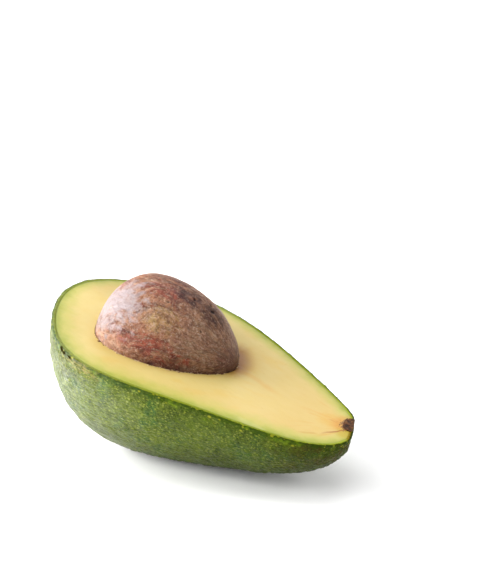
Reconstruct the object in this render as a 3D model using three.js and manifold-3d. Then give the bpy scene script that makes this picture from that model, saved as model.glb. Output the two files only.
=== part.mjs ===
// Half an avocado with its seed, cut lengthwise through the stem end, in millimetres.
//
// The fruit's own frame has x from the blunt end to the stem end, y across the cut face and z up
// out of it, with the cut face on z = 0. The last lines turn that frame to the pose in which the
// half rests, with +Z up. The origin is the lowest point of the round side, inside the small flat
// spot that the half rests on.

import * as THREE from "three";
import { mergeVertices } from "three/addons/utils/BufferGeometryUtils.js";
import Module from "manifold-3d";

// Whole form
const LENGTH = 110; // blunt end to stem end
const BODY_RADIUS = 29.6; // radius of a section halfway along
const SWELL = [0.548, 0.088, -0.49, -0.137, 0.022]; // how the radius grows toward the blunt end
const SECTION_HEIGHT = 1.03; // height of a section over its width
const SINK = [3.09, -0.68, -0.53]; // how far the middle of a section lies under the cut
const BEND = [-1.44, -1.0, -0.26]; // how far it lies to one side, as three waves
const FAR_SWELL = [-0.75, -0.9, 0.14, 0.74, 0.71]; // how far the far side stands out, as five waves
const REST_TILT = THREE.MathUtils.degToRad(13.2); // stem end down
const FLAT_DEPTH = 0.6; // how far the flat spot is pressed in

// Skin
const SKIN_THICKNESS = 1.1;
const GAP = 0.3; // between pieces that touch
const PEBBLE_SIZE = 4.6; // across one pebble of the skin
const PEBBLE_HEIGHT = 0.5;
const PEBBLE_SEED = 17;
const GROOVE_WIDTH = 0.45; // as a share of a pebble
const RELIEF_FADE = 0.25; // how close to the two ends the relief dies away

// Seed
const SEED_CENTRE = new THREE.Vector3(40.8, -0.1, -1.1);
const SEED_HALF_LENGTH = 23.1;
const SEED_HALF_WIDTH = 19.2; // before its swell
const SEED_HALF_HEIGHT = 18.4;
const SEED_SWELL = [0.316, 0.04, 0.12]; // how its radius grows away from its point
const SEED_TURN = THREE.MathUtils.degToRad(4.8); // about z, point to the far side
const SEED_LIFT = THREE.MathUtils.degToRad(8.8); // point up
const SEED_LUMP_SIZE = 9;
const SEED_LUMP_HEIGHT = 0.25;

// Stem end: the fruit is a little flat where the stem joined it, off its middle line
const STEM_PLACE = new THREE.Vector3(105.6, 7.7, 0);
const STEM_TURN = THREE.MathUtils.degToRad(31); // of the stem's axis, to the far side
const STEM_SOFTNESS = 0.25; // share of the bulge that stays beyond the flat

// Woody plug left there, from its inner end to its outer one
const SCAR_DEPTH = 3.2;
const SCAR_PROUD = 0.5;
const SCAR_RADII = [1.9, 3.0, 3.5, 3.4, 2.6];
const SCAR_SIDES = 24;
const SCAR_LOBES = 7;
const SCAR_LOBE_HEIGHT = 0.18;

// Fineness of the meshes: rows from end to end, and the step along a row
const SKIN_ROWS = 78;
const SKIN_STEP = 1.95;
const FLESH_ROWS = 38;
const FLESH_STEP = 3.8;
const SEED_ROWS = 22;
const SEED_STEP = 3.2;
const LEAST_STEPS = 10;
const REST_STEPS = 300; // in the search for the lowest point
const RIM_SHARE = 0.06; // of the way round, where the outward direction turns into the cut
const TINY = 1e-3;

const upright = new THREE.Vector3(0, 0, 1);
const stemAxis = new THREE.Vector3(1, 0, 0).applyAxisAngle(upright, STEM_TURN);

// A smooth ramp from 0 at low to 1 at high
function ramp(value, low, high) {
  return THREE.MathUtils.smoothstep(value, low, high);
}

// The sum of factors[i] * value^(i + 1)
function powers(factors, value) {
  return factors.reduce((sum, factor, i) => sum + factor * value ** (i + 1), 0);
}

// A number from 0 to 1 that depends only on three whole numbers and a seed
function lattice(i, j, k, seed) {
  const wave = Math.sin(i * 127.1 + j * 311.7 + k * 74.7 + seed * 53.3) * 43758.5453;
  return wave - Math.floor(wave);
}

// Rounded pebbles: 1 over most of each, falling to 0 in the grooves between them
function pebbles(point, size, seed) {
  const cell = point.clone().divideScalar(size);
  const base = cell.clone().floor();
  const centre = new THREE.Vector3();
  let nearest = Infinity;
  let second = Infinity;
  for (let i = -1; i <= 1; i++) {
    for (let j = -1; j <= 1; j++) {
      for (let k = -1; k <= 1; k++) {
        const [x, y, z] = [base.x + i, base.y + j, base.z + k];
        centre.set(
          x + lattice(x, y, z, seed),
          y + lattice(x, y, z, seed + 1),
          z + lattice(x, y, z, seed + 2),
        );
        const distance = centre.distanceTo(cell);
        second = Math.min(second, Math.max(nearest, distance));
        nearest = Math.min(nearest, distance);
      }
    }
  }
  return ramp(second - nearest, 0, GROOVE_WIDTH);
}

// The sum of factors[i] * sin((i + 1) * along), nothing at either end
function waves(factors, along) {
  return factors.reduce((sum, factor, i) => sum + factor * Math.sin((i + 1) * along), 0);
}

// One section of the whole fruit: the middle of an ellipse, its half width and how much further
// its far side stands out. along is 0 at the blunt end and PI at the stem end.
function section(along) {
  const lean = Math.cos(along);
  const [sink, sinkLean, sinkEnds] = SINK;
  return {
    x: (LENGTH / 2) * (1 - lean),
    y: waves(BEND, along),
    z: -(Math.sin(along) ** 2) * (sink + sinkLean * lean + sinkEnds * lean * lean),
    radius: BODY_RADIUS * Math.sin(along) * Math.exp(powers(SWELL, lean)),
    farSwell: waves(FAR_SWELL, along),
  };
}

// How far past level the section meets the cut face, as an angle
function rimAngle({ z, radius }) {
  return radius > TINY ? Math.asin(Math.min(1, -z / (SECTION_HEIGHT * radius))) : 0;
}

// A point of the smooth outside. around is 0 at the far rim, 0.5 below and 1 at the near rim.
function bodyPoint(along, around) {
  const ring = section(along);
  const start = rimAngle(ring);
  const angle = start - around * (Math.PI + 2 * start);
  const farShare = Math.max(Math.cos(angle), 0) ** 2;
  const point = new THREE.Vector3(
    ring.x,
    ring.y + ring.radius * Math.cos(angle) + ring.farSwell * farShare,
    ring.z + SECTION_HEIGHT * ring.radius * Math.sin(angle),
  );
  return pressStemEnd(point);
}

// Flattens the stem end across the stem's axis
function pressStemEnd(point) {
  const bulge = point.dot(stemAxis) - STEM_PLACE.dot(stemAxis);
  return bulge > 0 ? point.addScaledVector(stemAxis, (STEM_SOFTNESS - 1) * bulge) : point;
}

// The outward direction there. Beside the cut it lies in the cut's plane.
function bodyNormal(along, around) {
  if (along < TINY || along > Math.PI - TINY) {
    return new THREE.Vector3(along < TINY ? -1 : 1, 0, 0);
  }
  const low = Math.max(around - TINY, 0);
  const high = Math.min(around + TINY, 1);
  const lengthways = bodyPoint(along + TINY, around).sub(bodyPoint(along - TINY, around));
  const sideways = bodyPoint(along, high).sub(bodyPoint(along, low));
  const normal = lengthways.cross(sideways).normalize();
  normal.z *= ramp(Math.min(around, 1 - around), 0, RIM_SHARE);
  return normal.normalize();
}

// The pose: up in the fruit's frame, and the lowest point of the smooth outside
const up = new THREE.Vector3(-Math.sin(REST_TILT), 0, Math.cos(REST_TILT));
const lowest = findLowest();
const floorHeight = lowest.dot(up) + FLAT_DEPTH;

function findLowest() {
  let found = bodyPoint(Math.PI / 2, 0.5);
  for (let i = 1; i < REST_STEPS; i++) {
    for (let j = 1; j < REST_STEPS; j++) {
      const point = bodyPoint((Math.PI * i) / REST_STEPS, j / REST_STEPS);
      if (point.dot(up) < found.dot(up)) {
        found = point;
      }
    }
  }
  return found;
}

// A point held off the smooth outside by a distance, negative inward, and kept above the floor
function bodyOffset(along, around, distance, clearance) {
  const point = bodyPoint(along, around);
  point.addScaledVector(bodyNormal(along, around), distance);
  if (around === 0 || around === 1) {
    point.z = 0;
  }
  const height = point.dot(up) - floorHeight;
  if (height < clearance) {
    point.addScaledVector(up, clearance - height);
  }
  return point;
}

// Height of the skin's relief, smooth at the two ends
function skinRelief(along, around) {
  const fade = ramp(Math.sin(along), 0, RELIEF_FADE);
  return PEBBLE_HEIGHT * fade * pebbles(bodyPoint(along, around), PEBBLE_SIZE, PEBBLE_SEED);
}

// A point of the seed, along from its blunt end to its point and around from 0 to 1
function seedPoint(along, around, grow) {
  const lean = Math.cos(along);
  const swell = Math.sin(along) * Math.exp(powers(SEED_SWELL, lean));
  const angle = 2 * Math.PI * around;
  const point = new THREE.Vector3(
    -(SEED_HALF_LENGTH + grow) * lean,
    (SEED_HALF_WIDTH + grow) * swell * Math.cos(angle),
    (SEED_HALF_HEIGHT + grow) * swell * Math.sin(angle),
  );
  if (grow === 0) {
    const dent = SEED_LUMP_HEIGHT * (1 - pebbles(point, SEED_LUMP_SIZE, PEBBLE_SEED));
    point.multiplyScalar(1 - dent / SEED_HALF_WIDTH);
  }
  const turn = new THREE.Euler(0, -SEED_LIFT, SEED_TURN, "ZYX");
  return point.applyEuler(turn).add(SEED_CENTRE);
}

// A closed surface, woven row by row
class Surface {
  positions = [];
  faces = [];

  addRow(points) {
    return points.map((point) => {
      this.positions.push(point.x, point.y, point.z);
      return this.positions.length / 3 - 1;
    });
  }

  // Triangles between two rows, which may have different numbers of points
  weave(first, second) {
    const [lastFirst, lastSecond] = [first.length - 1, second.length - 1];
    let i = 0;
    let j = 0;
    while (i < lastFirst || j < lastSecond) {
      const stepFirst = j === lastSecond || (i < lastFirst && (i + 1) * lastSecond <= (j + 1) * lastFirst);
      if (stepFirst) {
        this.faces.push(first[i], second[j], first[i + 1]);
        i += 1;
      } else {
        this.faces.push(first[i], second[j], second[j + 1]);
        j += 1;
      }
    }
  }

  weaveAll(rows) {
    rows.slice(1).forEach((row, i) => this.weave(rows[i], row));
  }

  geometry() {
    const geometry = new THREE.BufferGeometry();
    geometry.setAttribute("position", new THREE.Float32BufferAttribute(this.positions, 3));
    geometry.setIndex(this.faces);
    return geometry;
  }
}

// Rows across the outside from the far rim to the near one, with a single point at each end
function bodyRows(surface, rowCount, step, pointAt) {
  const rows = [];
  for (let k = 0; k <= rowCount; k++) {
    const along = (Math.PI * k) / rowCount;
    const ring = section(along);
    const reach = (Math.PI + 2 * rimAngle(ring)) * ring.radius;
    const steps = k % rowCount === 0 ? 0 : Math.max(LEAST_STEPS, Math.round(reach / step));
    const points = [];
    for (let i = 0; i <= steps; i++) {
      points.push(pointAt(along, steps === 0 ? 0 : i / steps));
    }
    rows.push(surface.addRow(points));
  }
  return rows;
}

const farRim = (rows) => rows.map((row) => row[0]);
const nearRim = (rows) => rows.map((row) => row[row.length - 1]);
const reversed = (rows) => rows.map((row) => [...row].reverse());

// The peel: pebbled outside, smooth inside and the cut edge between them
function skinShell() {
  const surface = new Surface();
  const outside = (along, around) => bodyOffset(along, around, skinRelief(along, around), 0);
  const inside = (along, around) => bodyOffset(along, around, -SKIN_THICKNESS, SKIN_THICKNESS);
  const outer = bodyRows(surface, SKIN_ROWS, SKIN_STEP, outside);
  const inner = bodyRows(surface, FLESH_ROWS, FLESH_STEP, inside);
  surface.weaveAll(outer);
  surface.weaveAll(reversed(inner));
  surface.weave(farRim(outer), farRim(inner));
  surface.weave(nearRim(inner), nearRim(outer));
  return surface.geometry();
}

// The flesh before the seed's hollow is cut in it
function fleshBody() {
  const surface = new Surface();
  const depth = SKIN_THICKNESS + GAP;
  const outside = (along, around) => bodyOffset(along, around, -depth, depth);
  const rows = bodyRows(surface, FLESH_ROWS, FLESH_STEP, outside);
  surface.weaveAll(rows);
  const across = rows.map((row) => (row.length === 1 ? row : [row[0], row[row.length - 1]]));
  surface.weaveAll(across.reverse());
  return surface.geometry();
}

// The seed, or its hollow when grow is above 0
function seedBody(grow) {
  const surface = new Surface();
  const rows = [];
  for (let k = 0; k <= SEED_ROWS; k++) {
    const along = (Math.PI * k) / SEED_ROWS;
    const reach = 2 * Math.PI * SEED_HALF_WIDTH * Math.sin(along);
    const steps = k % SEED_ROWS === 0 ? 1 : Math.max(LEAST_STEPS, Math.round(reach / SEED_STEP));
    const points = [];
    for (let i = 0; i < steps; i++) {
      points.push(seedPoint(along, i / steps, grow));
    }
    const row = surface.addRow(points);
    rows.push(steps === 1 ? row : [...row, row[0]]);
  }
  surface.weaveAll(reversed(rows));
  return surface.geometry();
}

// The woody plug as a whole turned shape on the stem's axis, with a slightly lobed outline
function scarBody(grow) {
  const surface = new Surface();
  const start = -SCAR_DEPTH - grow;
  const end = SCAR_PROUD + grow;
  const place = (point) => point.applyAxisAngle(upright, STEM_TURN).add(STEM_PLACE);
  const ringAt = (x, radius) => {
    const points = [];
    for (let i = 0; i < SCAR_SIDES; i++) {
      const angle = (2 * Math.PI * i) / SCAR_SIDES;
      const wide = radius + grow + SCAR_LOBE_HEIGHT * Math.sin(SCAR_LOBES * angle);
      points.push(place(new THREE.Vector3(x, wide * Math.cos(angle), wide * Math.sin(angle))));
    }
    const row = surface.addRow(points);
    return [...row, row[0]];
  };
  const rings = SCAR_RADII.map((radius, i) => {
    const share = i / (SCAR_RADII.length - 1);
    return ringAt(start + share * (end - start), radius);
  });
  const first = surface.addRow([place(new THREE.Vector3(start, 0, 0))]);
  const last = surface.addRow([place(new THREE.Vector3(end, 0, 0))]);
  surface.weaveAll(reversed([first, ...rings, last]));
  return surface.geometry();
}

// Joins and cuts
const wasm = await Module();
wasm.setup();

function solid(geometry) {
  return new wasm.Manifold(
    new wasm.Mesh({
      numProp: 3,
      vertProperties: new Float32Array(geometry.getAttribute("position").array),
      triVerts: new Uint32Array(geometry.getIndex().array),
    }),
  );
}

// A cut can leave a loose scrap, which is dropped
function largestBody(manifold) {
  return manifold.decompose().reduce((most, body) => (body.volume() > most.volume() ? body : most));
}

function toGeometry(manifold) {
  const mesh = manifold.getMesh();
  const geometry = new THREE.BufferGeometry();
  geometry.setAttribute("position", new THREE.BufferAttribute(mesh.vertProperties, 3));
  geometry.setIndex(new THREE.BufferAttribute(mesh.triVerts, 1));
  return geometry;
}

// Everything under the cut face
function belowCut() {
  const side = 2 * LENGTH;
  const block = new THREE.BoxGeometry(side, side, side);
  block.translate(0, 0, -side / 2);
  block.deleteAttribute("normal");
  block.deleteAttribute("uv");
  return mergeVertices(block);
}

function part(name, geometry, colour, roughness) {
  geometry.computeVertexNormals();
  const material = new THREE.MeshStandardMaterial({ color: colour, roughness, metalness: 0 });
  const mesh = new THREE.Mesh(geometry, material);
  mesh.name = name;
  return mesh;
}

const scarSocket = solid(scarBody(GAP));
const skin = largestBody(solid(skinShell()).subtract(scarSocket));
const flesh = largestBody(solid(fleshBody()).subtract(solid(seedBody(GAP))).subtract(scarSocket));
const scar = solid(scarBody(0)).intersect(solid(belowCut()));

const fruit = new THREE.Group();
fruit.add(part("skin", toGeometry(skin), 0x4f7a2e, 0.45));
fruit.add(part("flesh", toGeometry(flesh), 0xf3dd8e, 0.5));
fruit.add(part("seed", seedBody(0), 0x7d4a37, 0.55));
fruit.add(part("stem_scar", toGeometry(scar), 0x5a3218, 0.85));

// Turned to rest, with the lowest point of the round side at the origin
fruit.rotation.y = REST_TILT;
const restPoint = lowest.clone().addScaledVector(up, FLAT_DEPTH);
fruit.position.copy(restPoint.applyEuler(fruit.rotation).negate());

const group = new THREE.Group();
group.name = "avocado_half";
group.add(fruit);

export default group;
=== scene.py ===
# Half an avocado with its seed: the finish of its skin, cut face, seed and stem scar.
# Forms are worked out in millimetres in the fruit's own frame, with x from the blunt end to the
# stem end, y across the cut face and z up out of it. to_row() turns them to rest, in metres.
import math

import bmesh
import bpy
import numpy as np
from mathutils import Matrix, Vector


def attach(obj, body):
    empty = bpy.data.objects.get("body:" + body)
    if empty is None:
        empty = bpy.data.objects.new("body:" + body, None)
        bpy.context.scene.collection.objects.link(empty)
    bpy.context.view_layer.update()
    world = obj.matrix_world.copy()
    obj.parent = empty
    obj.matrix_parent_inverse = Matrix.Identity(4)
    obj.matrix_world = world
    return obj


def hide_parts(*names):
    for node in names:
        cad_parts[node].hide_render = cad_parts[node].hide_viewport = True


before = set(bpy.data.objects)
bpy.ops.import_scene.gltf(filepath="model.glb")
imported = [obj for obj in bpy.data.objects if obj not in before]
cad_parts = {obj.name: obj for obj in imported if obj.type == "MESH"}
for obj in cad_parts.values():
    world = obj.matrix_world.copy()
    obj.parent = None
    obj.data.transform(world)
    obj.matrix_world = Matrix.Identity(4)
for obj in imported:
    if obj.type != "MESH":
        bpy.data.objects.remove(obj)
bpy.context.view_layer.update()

# Whole form
LENGTH = 110.0
BODY_RADIUS = 29.6
SWELL = (0.548, 0.088, -0.49, -0.137, 0.022)
SECTION_HEIGHT = 1.03
SINK = (3.09, -0.68, -0.53)
BEND = (-1.44, -1.0, -0.26)
FAR_SWELL = (-0.75, -0.9, 0.14, 0.74, 0.71)
REST_TILT = math.radians(13.2)
FLAT_DEPTH = 0.6
STEM_PLACE = np.array((105.6, 7.7, 0.0))
STEM_TURN = math.radians(31)
STEM_SOFTNESS = 0.25
SKIN_THICKNESS = 1.1
FLESH_OVERLAP = 0.05

# Seed
SEED_CENTRE = np.array((40.8, -0.1, -1.1))
SEED_HALF = np.array((23.1, 19.2, 18.4))
SEED_SWELL = (0.316, 0.04, 0.12)
SEED_TURN = math.radians(4.8)
SEED_LIFT = math.radians(8.8)
FIBRE_STRETCH = 0.5
SHOULDER = np.array((10.0, 6.5, 13.0))
SHOULDER_HEIGHT = 0.4
SHOULDER_SIZE = (2, 11)

# Dents in the seed's coat: place on the seed as angles from its point and round it, width, depth
PITS = (
    (48, 104, 1.2, 0.7),
    (68, 95, 0.9, 0.4),
    (56, 112, 0.8, 0.4),
    (84, 70, 0.8, 0.3),
    (40, 60, 0.7, 0.3),
)

# Hollow under the seed: gaps at the cut face and below it, step at its edge and depth
HOLLOW_GAP = 0.12
HOLLOW_CLEARANCE = 0.3
HOLLOW_LIP = 0.35
HOLLOW_DEPTH = 24

# Stem scar
SCAR_DEPTH = 2.8
SCAR_PROUD = 0.5
SCAR_RADII = (1.9, 3.1, 3.7, 3.8, 3.2)
SCAR_ROUGHNESS = 0.55
SCAR_FACE = 0.12

# Fine relief, in millimetres
PEBBLE_SIZE = 1.5
PEBBLE_HEIGHT = 0.2
PEBBLE_STRETCH = (1.5, 1, 1)
LUMP_SIZE = 5.5
LUMP_HEIGHT = 0.22
LUMP_STRETCH = (1.2, 1, 1)
RELIEF_FADE = 0.12
RIM_NIBBLE = 0.25
NIBBLE_SIZE = 3.0
KNIFE_WAVE = 0.16
KNIFE_WAVE_SIZE = 14.0
FACE_GRAIN = 0.03
FACE_GRAIN_SIZE = 1.6
FACE_DROP = 0.02

# Scraps of coat round the seed: how many on the near side and all round, and their sizes
CRUMBS_NEAR = 150
CRUMBS_ROUND = 60
CRUMB_SMALLEST = 0.07
CRUMB_SPREAD = 0.22

# Fineness of the meshes: rows along the fruit, and steps across it in millimetres
SKIN_ROWS = 400
SKIN_STEP = 0.41
INSIDE_ROWS = 80
INSIDE_STEP = 2.4
FLESH_ROWS = 220
FLESH_STEP = 2.6
FACE_RINGS = 72
RING_BUNCHING = 0.13
HOLLOW_RINGS = 18
SEED_FINENESS = 7
CRUMB_FINENESS = 2
SCAR_SIDES = 40
SCAR_ACROSS = 22
SCAR_LAYERS = 26

# Camera, in the frame of the photograph, 500 by 587 pixels
PHOTO_SIZE = (500, 587)
FOCAL_PIXELS = 2921.6
CAMERA_DISTANCE = 0.9
CAMERA_ELEVATION = math.radians(21.43)
CAMERA_TURN = math.radians(37.64)
CAMERA_ASIDE = (-0.01283, -0.02046)  # of the middle of the fruit from the picture's, in metres
SENSOR = 36.0

# Light: steps to the camera's right, up and toward it, size in metres and power in watts
LIGHTS = {
    "key_light": ((-1.45, 0.5, -0.1), 1.0, 55.0),
    "back_left_light": ((-0.95, 1.05, -0.5), 1.1, 24.0),
    "front_left_light": ((-0.9, 0.75, 0.9), 1.0, 12.0),
    "top_light": ((0.1, 1.5, -0.1), 1.0, 9.0),
    "right_light": ((1.28, 0.78, -0.1), 1.0, 11.0),
    "back_light": ((0.1, 0.86, -1.22), 1.0, 8.0),
}
LIGHT_TARGET = Vector((0, 0, 0.03))
WORLD_STRENGTH = 0.04
FLOOR_RADIUS = 6.0

# Small steps, shares and searches
TINY = 1e-3
SMALLEST = 1e-12
RIM_SHARE = 0.06
SEARCH_REACH = 40.0
SEARCH_STEPS = 40
MILLIMETRE = 0.001

STEM_AXIS = np.array((math.cos(STEM_TURN), math.sin(STEM_TURN), 0.0))
UP = np.array((-math.sin(REST_TILT), 0.0, math.cos(REST_TILT)))


# Formulas

def ramp(value, low, high):
    share = np.clip((value - low) / (high - low), 0, 1)
    return share * share * (3 - 2 * share)


def powers(factors, value):
    return sum(factor * value ** (i + 1) for i, factor in enumerate(factors))


def lattice(cells, seed):
    """A number from 0 to 1 for each cell, from its whole coordinates and a seed."""
    wave = np.sin(cells @ np.array((127.1, 311.7, 74.7)) + seed * 53.3) * 43758.5453
    return wave - np.floor(wave)


def cell_edges(points, size, seed, stretch):
    """How much farther the second centre is than the nearest: 0 where two cells meet."""
    place = points / (size * np.array(stretch))
    base = np.floor(place)
    nearest = np.full(len(points), 9.0)
    second = np.full(len(points), 9.0)
    for step in np.ndindex(3, 3, 3):
        cells = base + np.array(step) - 1
        centre = cells + np.stack([lattice(cells, seed + k) for k in range(3)], -1)
        distance = np.linalg.norm(centre - place, axis=1)
        second = np.where(distance < nearest, nearest, np.minimum(second, distance))
        nearest = np.minimum(nearest, distance)
    return second - nearest


def value_noise(points, size, seed):
    """Smooth noise from 0 to 1."""
    place = points / size
    base = np.floor(place)
    share = place - base
    share = share * share * (3 - 2 * share)
    total = np.zeros(len(points))
    for step in np.ndindex(2, 2, 2):
        corner = np.array(step)
        weight = np.prod(np.where(corner == 1, share, 1 - share), axis=1)
        total += weight * lattice(base + corner, seed)
    return total


def layered_noise(points, size, seed, layers):
    total = sum(value_noise(points, size / 2 ** i, seed + i) / 2 ** i for i in range(layers))
    return total / sum(0.5 ** i for i in range(layers))


def waves(factors, along):
    return sum(factor * np.sin((i + 1) * along) for i, factor in enumerate(factors))


def section(along):
    """Middle and radius of the cross-section, for along from 0 at the blunt end to pi at the stem."""
    lean = np.cos(along)
    x = LENGTH / 2 * (1 - lean)
    y = waves(BEND, along)
    z = -np.sin(along) ** 2 * (SINK[0] + SINK[1] * lean + SINK[2] * lean * lean)
    radius = BODY_RADIUS * np.sin(along) * np.exp(powers(SWELL, lean))
    return x, y, z, radius


def rim_angle(z, radius):
    """The angle above level at which a cross-section meets the cut."""
    height = -z / (SECTION_HEIGHT * np.maximum(radius, TINY))
    return np.arcsin(np.clip(height, -1, 1)) * (radius > TINY)


def body_point(along, around):
    """The smooth outside. around is 0 at the far rim, 0.5 below and 1 at the near rim."""
    x, y, z, radius = section(along)
    start = rim_angle(z, radius)
    angle = start - around * (math.pi + 2 * start)
    swell = waves(FAR_SWELL, along) * np.maximum(np.cos(angle), 0) ** 2
    low = z + SECTION_HEIGHT * radius * np.sin(angle)
    point = np.stack([x, y + radius * np.cos(angle) + swell, low], -1)
    bulge = np.maximum((point - STEM_PLACE) @ STEM_AXIS, 0)
    return point + (STEM_SOFTNESS - 1) * bulge[:, None] * STEM_AXIS


def body_normal(along, around):
    """The direction outward. Beside the cut it lies in the cut's plane."""
    inner = np.clip(along, TINY, math.pi - TINY)
    low = np.maximum(around - TINY, 0)
    high = np.minimum(around + TINY, 1)
    lengthways = body_point(inner + TINY, around) - body_point(inner - TINY, around)
    sideways = body_point(inner, high) - body_point(inner, low)
    normal = np.cross(lengthways, sideways)
    normal /= np.maximum(np.linalg.norm(normal, axis=1), SMALLEST)[:, None]
    normal[:, 2] *= ramp(np.minimum(around, 1 - around), 0, RIM_SHARE)
    normal[along < TINY] = (-1, 0, 0)
    normal[along > math.pi - TINY] = (1, 0, 0)
    return normal / np.linalg.norm(normal, axis=1)[:, None]


def find_lowest():
    steps = 300
    along, around = np.meshgrid(np.arange(1, steps) / steps * math.pi, np.arange(1, steps) / steps)
    points = body_point(along.ravel(), around.ravel())
    return points[np.argmin(points @ UP)]


LOWEST = find_lowest()
FLOOR_HEIGHT = LOWEST @ UP + FLAT_DEPTH


def to_row(points):
    """Millimetres in the fruit's frame to metres in the row's, with the flat spot at the origin."""
    moved = points - (LOWEST + UP * FLAT_DEPTH)
    c, s = math.cos(REST_TILT), math.sin(REST_TILT)
    x = moved[:, 0] * c + moved[:, 2] * s
    z = moved[:, 2] * c - moved[:, 0] * s
    return np.stack([x, moved[:, 1], z], -1) * MILLIMETRE


def turn_level(points, angle):
    """Points turned about the upright line through the origin."""
    c, s = math.cos(angle), math.sin(angle)
    x = points[:, 0] * c - points[:, 1] * s
    y = points[:, 0] * s + points[:, 1] * c
    return np.stack([x, y, points[:, 2]], -1)


def body_offset(along, around, distance, clearance):
    """The outside moved out by a distance, and kept at least a clearance above the floor."""
    point = body_point(along, around) + body_normal(along, around) * np.reshape(distance, (-1, 1))
    point[(around == 0) | (around == 1), 2] = 0
    height = point @ UP - FLOOR_HEIGHT
    return point + UP * np.maximum(clearance - height, 0)[:, None]


def seed_turn():
    c, s = math.cos(SEED_TURN), math.sin(SEED_TURN)
    about_z = np.array(((c, -s, 0), (s, c, 0), (0, 0, 1)))
    c, s = math.cos(-SEED_LIFT), math.sin(-SEED_LIFT)
    about_y = np.array(((c, 0, s), (0, 1, 0), (-s, 0, c)))
    return about_z @ about_y


SEED_FRAME = seed_turn()


def seed_reach(directions, grow=0.0):
    """How far the seed's surface lies from its centre, in directions of the seed's own frame."""
    half = SEED_HALF + grow
    low = np.zeros(len(directions))
    high = np.full(len(directions), SEARCH_REACH)
    for _ in range(SEARCH_STEPS):
        middle = (low + high) / 2
        place = directions * middle[:, None] / half
        lean = np.clip(-place[:, 0], -1, 1)
        limit = np.sqrt(1 - lean * lean) * np.exp(powers(SEED_SWELL, lean))
        outside = (np.hypot(place[:, 1], place[:, 2]) > limit) | (np.abs(place[:, 0]) > 1)
        low, high = np.where(outside, low, middle), np.where(outside, middle, high)
    return low


# Meshes

class Surface:
    """A closed surface, woven row by row."""

    def __init__(self):
        self.blocks = []
        self.faces = []
        self.count = 0

    def add_row(self, points):
        self.blocks.append(points)
        first = self.count
        self.count += len(points)
        return list(range(first, self.count))

    def weave(self, first, second):
        last_first, last_second = len(first) - 1, len(second) - 1
        i = j = 0
        while i < last_first or j < last_second:
            if j == last_second or (i < last_first and (i + 1) * last_second <= (j + 1) * last_first):
                self.faces.append((first[i], second[j], first[i + 1]))
                i += 1
            else:
                self.faces.append((first[i], second[j], second[j + 1]))
                j += 1

    def weave_all(self, rows):
        for first, second in zip(rows, rows[1:]):
            self.weave(first, second)

    def points(self):
        return np.concatenate(self.blocks)


def make_object(name, points, faces, material, attributes):
    """A smooth mesh, with each attribute a number or a vector for every point."""
    mesh = bpy.data.meshes.new(name)
    mesh.from_pydata(to_row(points).tolist(), [], faces)
    for key, values in attributes.items():
        vector = np.ndim(values) == 2
        layer = mesh.attributes.new(key, "FLOAT_VECTOR" if vector else "FLOAT", "POINT")
        layer.data.foreach_set("vector" if vector else "value", np.ravel(values).astype(np.float32))
    mesh.materials.append(material)
    mesh.shade_smooth()
    mesh.update()
    piece = bpy.data.objects.new(name, mesh)
    bpy.context.scene.collection.objects.link(piece)
    return piece


def body_rows(row_count, step, least=10):
    """The places of rows across the outside, as along and around for each row."""
    rows = []
    for k in range(row_count + 1):
        along = math.pi * k / row_count
        _, _, z, radius = section(np.array([along]))
        reach = float((math.pi + 2 * rim_angle(z, radius)[0]) * radius[0])
        steps = 0 if k % row_count == 0 else max(least, round(reach / step))
        around = np.arange(steps + 1) / max(steps, 1)
        rows.append((np.full(steps + 1, along), around))
    return rows


def add_body_rows(surface, rows, point_at):
    """Adds the rows, each point where point_at puts it, and returns their numbers."""
    along = np.concatenate([row[0] for row in rows])
    around = np.concatenate([row[1] for row in rows])
    points = point_at(along, around)
    indices = []
    start = 0
    for row in rows:
        indices.append(surface.add_row(points[start:start + len(row[0])]))
        start += len(row[0])
    return indices


def skin_relief(along, around):
    """Height of the pebbles and of the lumps under them, fading out at both ends."""
    smooth = body_point(along, around)
    pebble = PEBBLE_HEIGHT * ramp(cell_edges(smooth, PEBBLE_SIZE, 5, PEBBLE_STRETCH), 0, 0.5)
    lump = LUMP_HEIGHT * ramp(cell_edges(smooth, LUMP_SIZE, 17, LUMP_STRETCH), 0, 0.7)
    return ramp(np.sin(along), 0, RELIEF_FADE) * (pebble + lump)


def skin_outside(along, around):
    """The peel's outside, nibbled down a little along the cut."""
    point = body_offset(along, around, skin_relief(along, around), 0)
    rim = (around == 0) | (around == 1)
    point[rim, 2] = -RIM_NIBBLE * layered_noise(point[rim], NIBBLE_SIZE, 40, 3) ** 2
    return point


def skin_piece(material):
    """Outside, inside and the cut edge between them."""
    surface = Surface()
    outer = add_body_rows(surface, body_rows(SKIN_ROWS, SKIN_STEP), skin_outside)
    outer_count = surface.count
    inner = add_body_rows(
        surface, body_rows(INSIDE_ROWS, INSIDE_STEP),
        lambda along, around: body_offset(along, around, -SKIN_THICKNESS, SKIN_THICKNESS))
    surface.weave_all(outer)
    surface.weave_all([row[::-1] for row in inner])
    surface.weave([row[0] for row in outer], [row[0] for row in inner])
    surface.weave([row[-1] for row in inner], [row[-1] for row in outer])
    points = surface.points()
    depth = np.zeros(len(points))
    depth[outer_count:] = 1
    # lift, the height above the floor, places the painted shadow by the floor
    attributes = {"place": points, "depth": depth, "lift": points @ UP - FLOOR_HEIGHT}
    return make_object("skin_peel", points, surface.faces, material, attributes)


def face_outline(rows):
    """The rim as one loop of points, anticlockwise from the blunt end."""
    near = [row[-1] for row in rows]
    far = [row[0] for row in rows]
    return near + far[-2:0:-1]


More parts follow.
